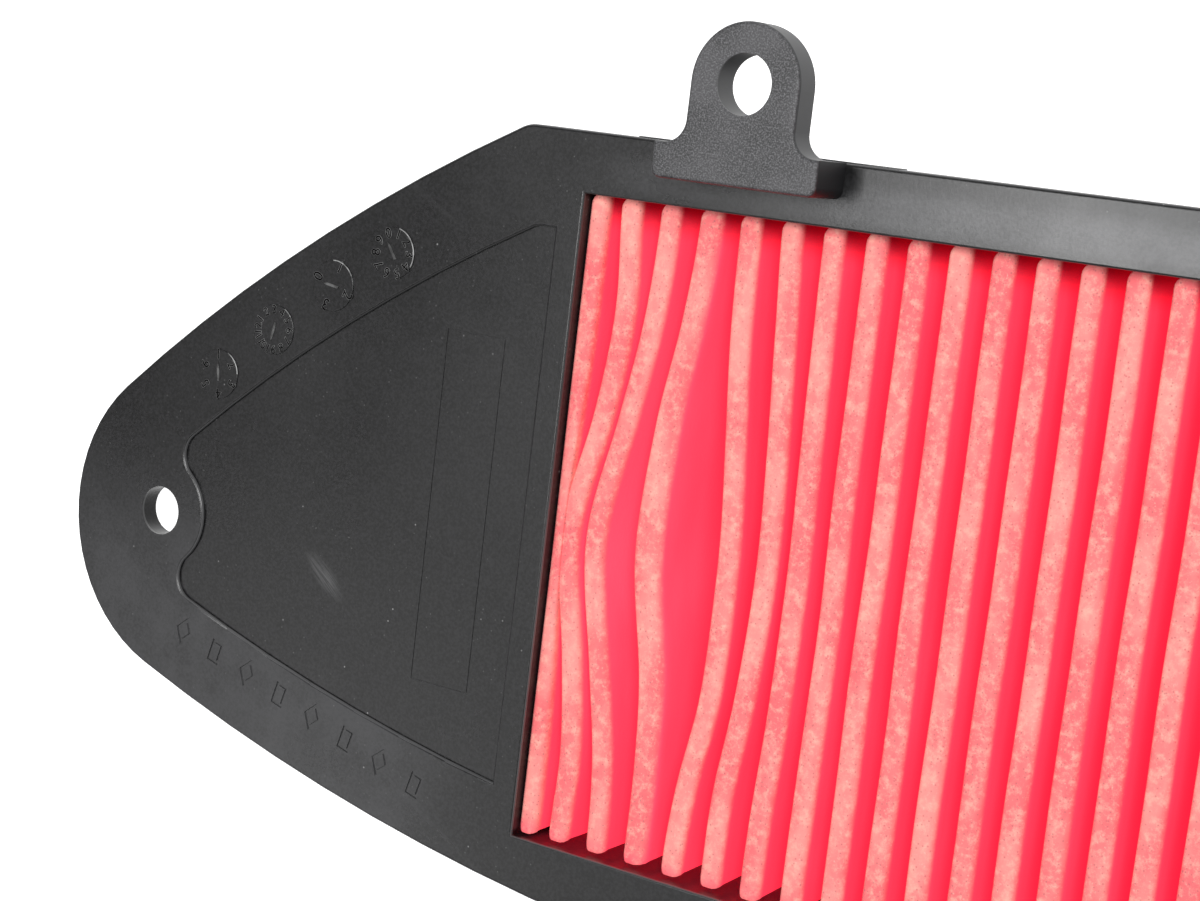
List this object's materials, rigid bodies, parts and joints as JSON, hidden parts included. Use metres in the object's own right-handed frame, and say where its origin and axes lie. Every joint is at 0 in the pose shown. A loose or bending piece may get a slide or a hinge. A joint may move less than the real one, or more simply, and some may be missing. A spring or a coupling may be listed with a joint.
{
  "type": "motorcycle air filter",
  "caption": "Panel air filter: moulded plastic frame with pointed screw noses and a screw lug, round a deep pleated red element with a foam gasket.",
  "frame": {"origin": "centre of the bounding box seen from the front, on the rear edge of the tub, where the filter rests when it lies on its back", "axes": "+X along the filter, +Y across it towards the screw lug, +Z out of the front face"},
  "size_m": [0.2864, 0.1004, 0.0302],
  "materials": {
    "frame_plastic": "satin, finely grained black",
    "lug_plastic": "coarse grained dark grey",
    "filter_media": "matt oiled paper, salmon red",
    "glue": "amber, waxy",
    "grid_plastic": "satin black",
    "gasket_foam": "matt closed-cell foam"
  },
  "bodies": {
    "root": {"front_frame": "frame_plastic", "screw_lug": "lug_plastic", "pleated_media": "filter_media", "seal_top": "glue", "seal_bottom": "glue", "seal_left": "glue", "seal_right": "glue", "support_grid": "grid_plastic", "gasket_top": "gasket_foam", "gasket_bottom": "gasket_foam", "gasket_left": "gasket_foam", "gasket_right": "gasket_foam"}
  },
  "joints": []
}
